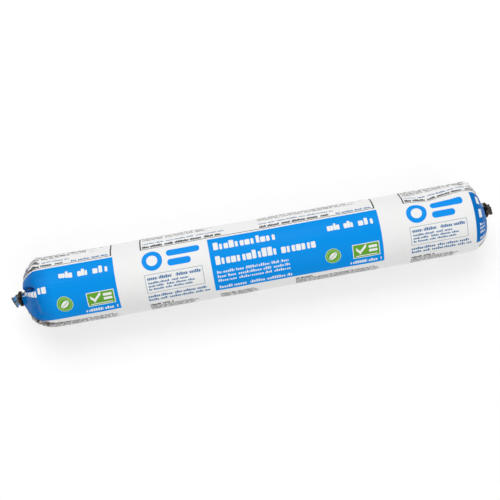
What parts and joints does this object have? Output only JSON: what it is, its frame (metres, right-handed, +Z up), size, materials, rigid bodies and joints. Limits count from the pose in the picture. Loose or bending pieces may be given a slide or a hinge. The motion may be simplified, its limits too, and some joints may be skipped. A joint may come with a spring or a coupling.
{
  "type": "sealant sausage pack",
  "caption": "Soft foil-film sausage of sealant, round and straight, gathered and wire-clipped at both ends, for a barrel-type dispensing gun.",
  "frame": {"origin": "middle of the narrow flat the pack rests on, half way between its two clips", "axes": "+X along the pack, from the left clip to the right one; +Z up, through the printed label"},
  "size_m": [0.3371, 0.049, 0.0483],
  "materials": {
    "printed_film": "satin laminated foil film, white with printed blue fields",
    "clip_wire": "dark drawn wire"
  },
  "bodies": {
    "root": {"filled_casing": "printed_film", "end_clip_left": "clip_wire", "end_clip_right": "clip_wire"}
  },
  "joints": []
}
